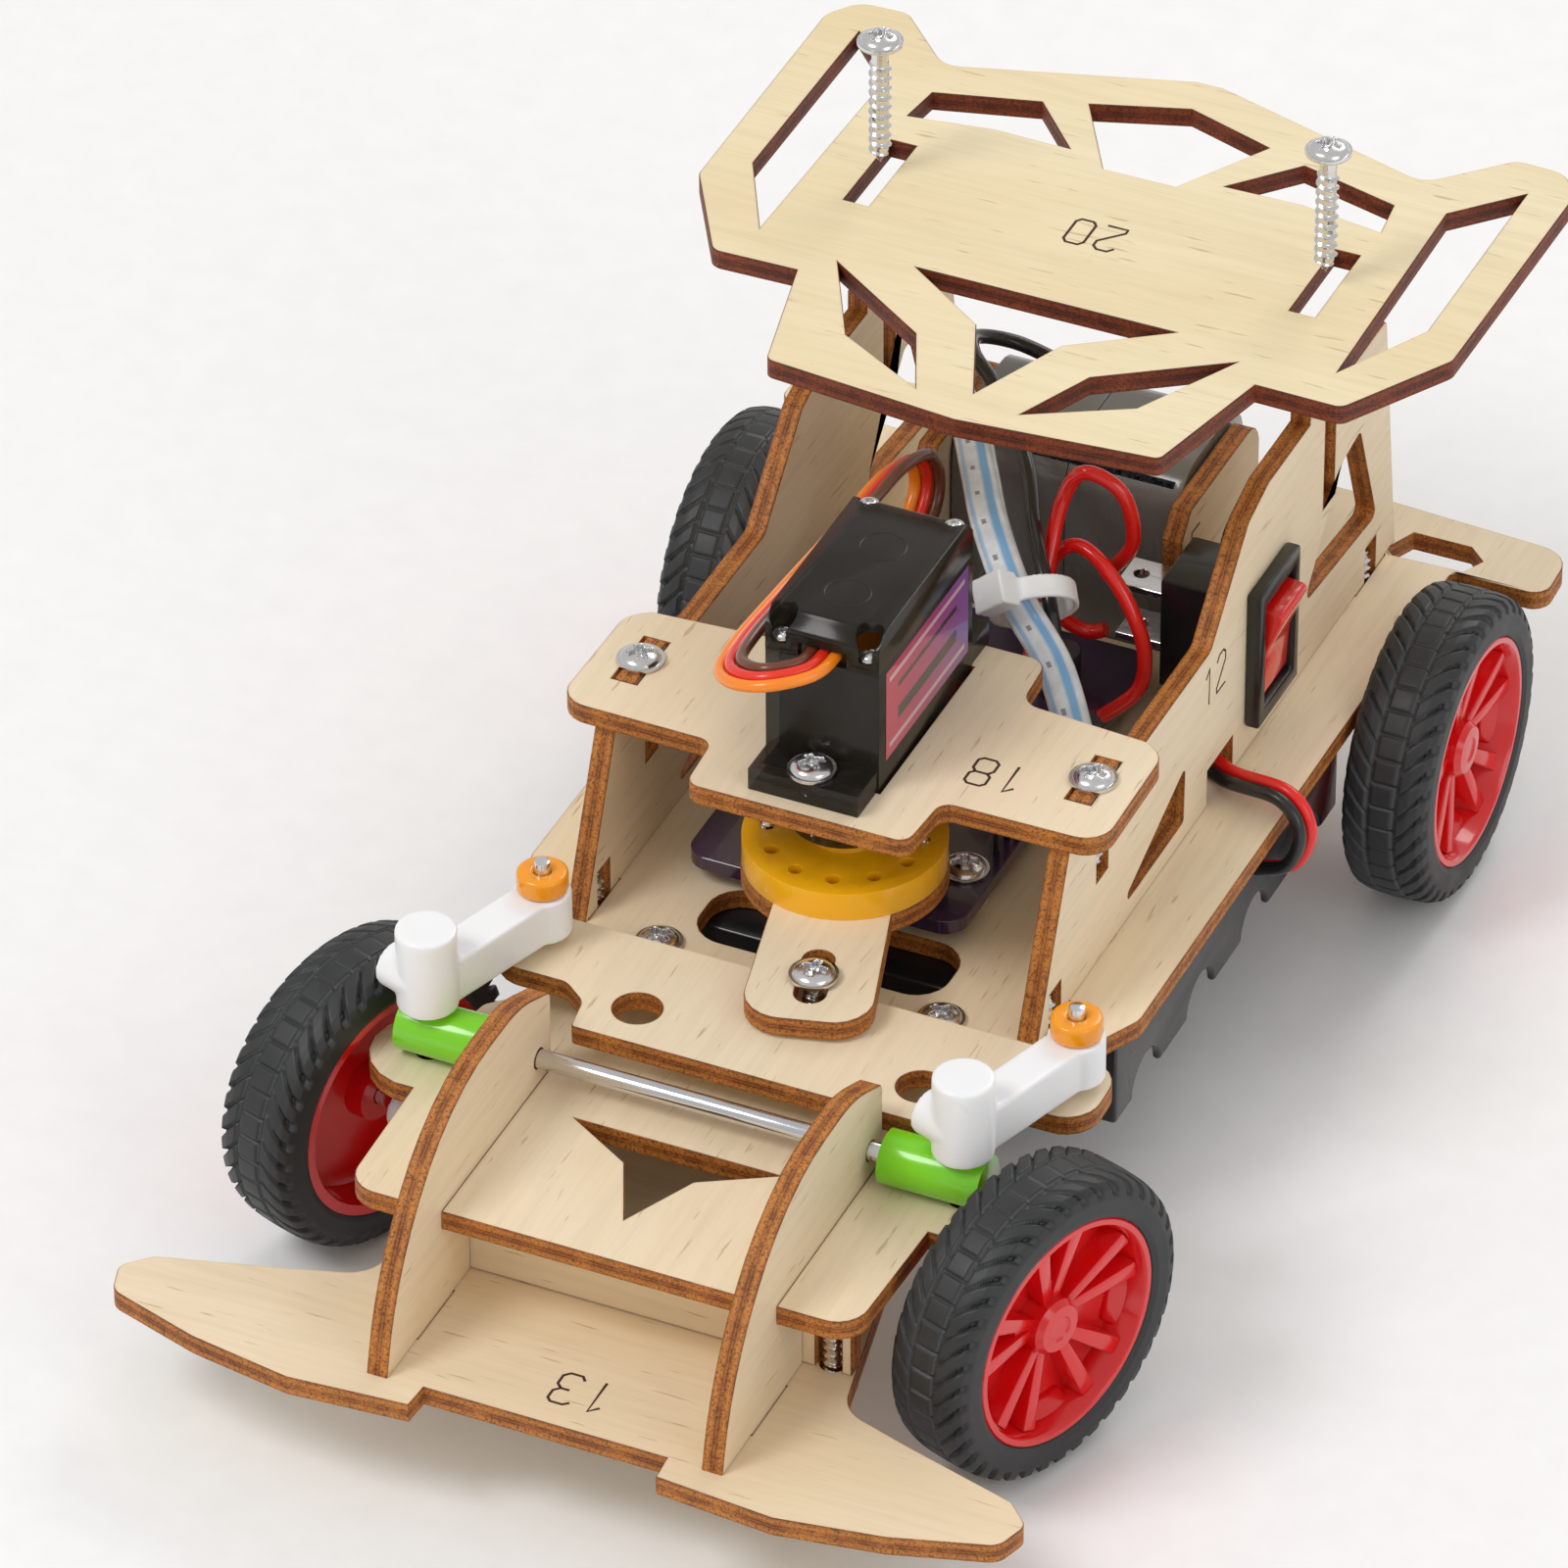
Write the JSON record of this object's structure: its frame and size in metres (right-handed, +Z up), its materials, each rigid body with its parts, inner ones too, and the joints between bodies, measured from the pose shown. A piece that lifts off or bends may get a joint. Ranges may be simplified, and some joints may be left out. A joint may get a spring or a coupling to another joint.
{
  "type": "four wheel robot chassis",
  "caption": "Plywood robot car chassis with servo-steered front wheels, a geared rear axle, a rocker switch and a lift-off rear wing.",
  "frame": {"origin": "centre of the bounding box on the ground plane, where the tyres stand", "axes": "+Z up, the car's front toward -Y, +X to the side with the rocker switch; left in a name is the -X side and right the +X side, as seen from in front of the car"},
  "size_m": [0.096, 0.1668, 0.0865],
  "materials": {
    "plywood": "satin",
    "wing_plywood": "satin",
    "tyre_rubber": "matt",
    "hub_plastic": "gloss",
    "screw_steel": "bright",
    "rod_steel": "bright",
    "white_nylon": "satin",
    "green_sleeve": "gloss",
    "orange_cap": "gloss",
    "yellow_horn": "gloss",
    "smoked_plastic": "gloss",
    "brass": "bright",
    "black_plastic": "satin",
    "gear_nylon": "satin",
    "gearbox_grey": "satin",
    "motor_can": "bright",
    "servo_motor": "satin",
    "cell_wrap": "gloss",
    "board_purple": "gloss",
    "component_black": "satin",
    "rocker_red": "gloss",
    "wire_orange": "satin",
    "wire_red": "satin",
    "cable_clear": "gloss"
  },
  "bodies": {
    "chassis": {"base_plate": "plywood", "front_wing_plate": "plywood", "nose_fins": "plywood", "nose_bulkheads": "plywood", "side_panel_left": "plywood", "side_panel_right": "plywood", "servo_plate": "plywood", "motor_brackets": "plywood", "front_axle_rod": "rod_steel", "axle_sleeves": "green_sleeve", "chassis_screws": "screw_steel", "servo_case_body": "smoked_plastic", "servo_gear_cover": "smoked_plastic", "servo_end_cover": "smoked_plastic", "servo_motor": "servo_motor", "servo_case_screws": "screw_steel", "gearbox_half_left": "gearbox_grey", "gearbox_half_right": "gearbox_grey", "drive_motor": "motor_can", "battery_holder": "black_plastic", "battery_cells": "cell_wrap", "circuit_board": "board_purple", "board_spacers": "white_nylon", "board_components": "component_black", "switch_body": "black_plastic", "switch_terminals": "screw_steel", "servo_lead": "wire_orange", "power_wires": "wire_red", "tied_cables": "cable_clear", "zip_tie": "white_nylon"},
    "steering_servo": {"servo_shaft": "brass", "servo_horn": "yellow_horn", "servo_arm": "plywood", "horn_screws": "screw_steel"},
    "tie_link": {"tie_bar": "plywood", "tie_bar_screw": "screw_steel"},
    "knuckle_set_left": {"knuckle_left": "white_nylon", "axle_carrier_left": "white_nylon", "steering_pins_left": "rod_steel", "pin_cap_left": "orange_cap"},
    "knuckle_set_right": {"knuckle_right": "white_nylon", "axle_carrier_right": "white_nylon", "steering_pins_right": "rod_steel", "pin_cap_right": "orange_cap"},
    "front_wheel_left": {"front_hub_left": "hub_plastic", "front_tyre_left": "tyre_rubber"},
    "front_wheel_right": {"front_hub_right": "hub_plastic", "front_tyre_right": "tyre_rubber"},
    "rear_axle_set": {"rear_axle": "rod_steel", "rear_hub_left": "hub_plastic", "rear_hub_right": "hub_plastic", "rear_tyre_left": "tyre_rubber", "rear_tyre_right": "tyre_rubber", "axle_gear": "gear_nylon"},
    "idler_set": {"idler_gear": "gear_nylon"},
    "motor_rotor": {"motor_pinion": "brass"},
    "rocker": {"switch_rocker": "rocker_red"},
    "wing": {"rear_wing": "wing_plywood"},
    "wing_screw_set_left": {"wing_screw_left": "screw_steel"},
    "wing_screw_set_right": {"wing_screw_right": "screw_steel"}
  },
  "joints": [
    {"name": "servo_turn", "type": "hinge", "parent": "chassis", "child": "steering_servo", "pos_m": [0, -0.0089, 0.035], "axis": [0, 0, 1], "range_deg": [-30.78, 0.4]},
    {"name": "tie_slide", "type": "slide", "parent": "chassis", "child": "tie_link", "axis": [1, 0, 0], "range_m": [-0.01073, 0.00034]},
    {"name": "knuckle_turn_left", "type": "hinge", "parent": "chassis", "child": "knuckle_set_left", "pos_m": [-0.0286, -0.045, 0.025], "axis": [0, 0, 1], "range_deg": [-0.79, 37.99]},
    {"name": "knuckle_turn_right", "type": "hinge", "parent": "chassis", "child": "knuckle_set_right", "pos_m": [0.0286, -0.045, 0.025], "axis": [0, 0, 1], "range_deg": [-0.79, 37.99]},
    {"name": "front_wheel_spin_left", "type": "hinge", "parent": "knuckle_set_left", "child": "front_wheel_left", "pos_m": [-0.03741, -0.04203, 0.0165], "axis": [0.9478, -0.319, 0], "continuous": true},
    {"name": "front_wheel_spin_right", "type": "hinge", "parent": "knuckle_set_right", "child": "front_wheel_right", "pos_m": [0.03741, -0.04797, 0.0165], "axis": [0.9478, -0.319, 0], "continuous": true},
    {"name": "rear_axle_spin", "type": "hinge", "parent": "chassis", "child": "rear_axle_set", "pos_m": [0, 0.0543, 0.0165], "axis": [1, 0, 0], "continuous": true},
    {"name": "idler_spin", "type": "hinge", "parent": "chassis", "child": "idler_set", "pos_m": [0, 0.0543, 0.0261], "axis": [1, 0, 0], "continuous": true},
    {"name": "motor_spin", "type": "hinge", "parent": "chassis", "child": "motor_rotor", "pos_m": [0, 0.0543, 0.0351], "axis": [1, 0, 0], "continuous": true},
    {"name": "rocker_tilt", "type": "hinge", "parent": "chassis", "child": "rocker", "pos_m": [0.026, 0.0379, 0.0373], "axis": [0, 1, 0], "range_deg": [-24, 0]},
    {"name": "wing_seat", "type": "slide", "parent": "chassis", "child": "wing", "axis": [0, 0, 1], "range_m": [-0.01125, 0]},
    {"name": "wing_screw_drive_left", "type": "slide", "parent": "wing", "child": "wing_screw_set_left", "axis": [0, 0, 1], "range_m": [-0.01565, 0]},
    {"name": "wing_screw_drive_right", "type": "slide", "parent": "wing", "child": "wing_screw_set_right", "axis": [0, 0, 1], "range_m": [-0.01565, 0]}
  ],
  "couplings": [
    {"joint": "tie_slide", "follows": "servo_turn", "m_per_rad": 0.019613},
    {"joint": "knuckle_turn_left", "follows": "servo_turn", "ratio": -1.2246},
    {"joint": "knuckle_turn_right", "follows": "servo_turn", "ratio": -1.2246},
    {"joint": "idler_spin", "follows": "rear_axle_spin", "ratio": -2.2},
    {"joint": "motor_spin", "follows": "rear_axle_spin", "ratio": 6.05}
  ]
}
